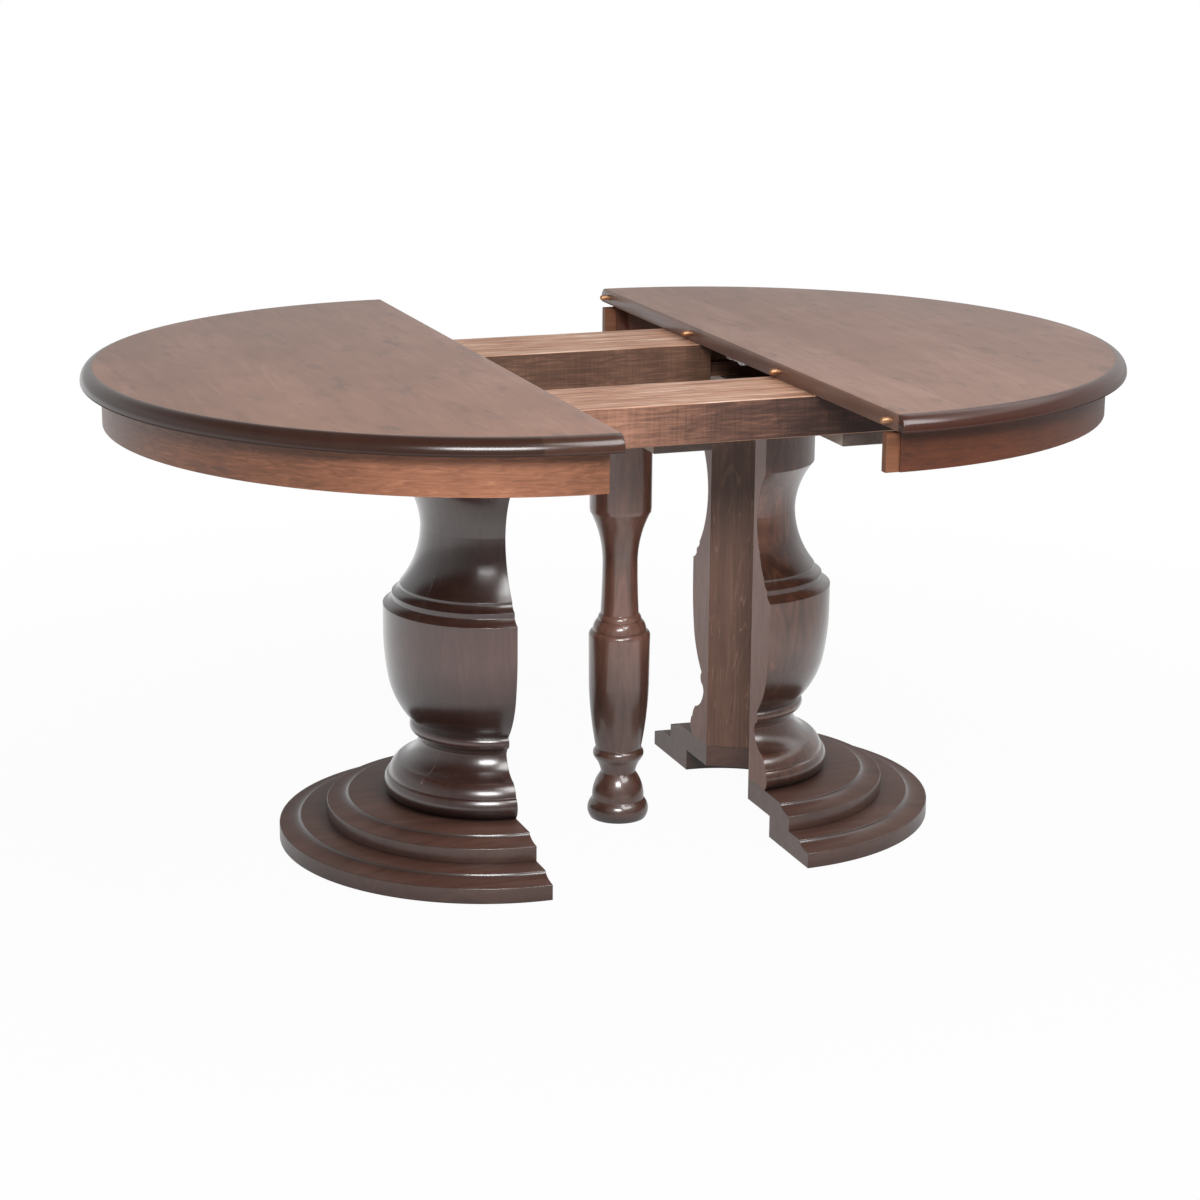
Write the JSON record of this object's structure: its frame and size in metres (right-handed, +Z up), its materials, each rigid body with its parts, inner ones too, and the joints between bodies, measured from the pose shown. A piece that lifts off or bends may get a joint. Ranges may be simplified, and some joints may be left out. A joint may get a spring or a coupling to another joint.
{
  "type": "extension dining table",
  "caption": "Round wooden dining table split through top and hollow pedestal; the half-round halves pull apart on wooden slides over a turned centre leg to take leaves.",
  "frame": {"origin": "on the floor, midway between the outer rims of the two half tops as they stand pulled apart", "axes": "+X along the slides towards the half with the pins, +Y to the back, +Z up"},
  "size_m": [1.6298, 1.22, 0.762],
  "materials": {
    "top_wood": "satin lacquer over a grey-brown stain",
    "apron_wood": "satin lacquer over a brown stain",
    "pedestal_wood": "semi-gloss lacquer over a dark brown stain",
    "slide_wood": "satin lacquer over a thin brown stain",
    "board_wood": "dull dark stain",
    "pin_brass": "polished",
    "lock_steel": "zinc plated",
    "screw_steel": "zinc plated",
    "glide_nylon": "matt brown nylon"
  },
  "bodies": {
    "centre": {"centre_leg": "pedestal_wood", "leg_glide": "glide_nylon", "leg_bolt": "screw_steel", "leg_washer": "screw_steel", "leg_nut": "screw_steel", "cross_plank": "board_wood", "plank_screws": "screw_steel", "centre_runner_front": "slide_wood", "centre_runner_back": "slide_wood"},
    "left_mid_runners": {"left_mid_runner_front": "slide_wood", "left_mid_runner_back": "slide_wood"},
    "right_mid_runners": {"right_mid_runner_front": "slide_wood", "right_mid_runner_back": "slide_wood"},
    "left_half": {"left_top": "top_wood", "left_apron": "apron_wood", "left_apron_blocks": "apron_wood", "left_pedestal_board": "board_wood", "left_stave_front": "pedestal_wood", "left_stave_middle": "pedestal_wood", "left_stave_back": "pedestal_wood", "left_upper_base": "pedestal_wood", "left_lower_base": "pedestal_wood", "left_floor_glides": "glide_nylon", "left_board_screws": "screw_steel", "left_top_screws": "screw_steel", "left_column_screws": "screw_steel", "left_pedestal_screws": "screw_steel", "left_base_screws": "screw_steel", "left_runner_front": "slide_wood", "left_runner_back": "slide_wood", "lock_keeper": "lock_steel", "keeper_screws": "screw_steel"},
    "right_half": {"right_top": "top_wood", "right_apron": "apron_wood", "right_apron_blocks": "apron_wood", "right_pedestal_board": "board_wood", "right_stave_front": "pedestal_wood", "right_stave_middle": "pedestal_wood", "right_stave_back": "pedestal_wood", "right_upper_base": "pedestal_wood", "right_lower_base": "pedestal_wood", "right_floor_glides": "glide_nylon", "right_board_screws": "screw_steel", "right_top_screws": "screw_steel", "right_column_screws": "screw_steel", "right_pedestal_screws": "screw_steel", "right_base_screws": "screw_steel", "right_runner_front": "slide_wood", "right_runner_back": "slide_wood", "leaf_pins": "pin_brass", "apron_tongue_front": "apron_wood", "apron_tongue_back": "apron_wood", "lock_body": "lock_steel", "lock_screws": "screw_steel"},
    "lock_lever": {"lock_lever": "lock_steel"}
  },
  "joints": [
    {"name": "left_slide", "type": "slide", "parent": "centre", "child": "left_half", "axis": [-1, 0, 0], "range_m": [-0.22175, 0.388]},
    {"name": "right_slide", "type": "slide", "parent": "centre", "child": "right_half", "axis": [1, 0, 0], "range_m": [-0.18775, 0.422]},
    {"name": "left_mid_slide", "type": "slide", "parent": "centre", "child": "left_mid_runners", "axis": [-1, 0, 0], "range_m": [-0.111, 0.195]},
    {"name": "right_mid_slide", "type": "slide", "parent": "centre", "child": "right_mid_runners", "axis": [1, 0, 0], "range_m": [-0.094, 0.212]},
    {"name": "lock_turn", "type": "hinge", "parent": "right_half", "child": "lock_lever", "pos_m": [0.222, 0, 0.7316], "axis": [0, 0, 1], "range_deg": [-75, 45]}
  ],
  "couplings": [
    {"joint": "left_mid_slide", "follows": "left_slide", "ratio": 0.5},
    {"joint": "right_mid_slide", "follows": "right_slide", "ratio": 0.5}
  ]
}
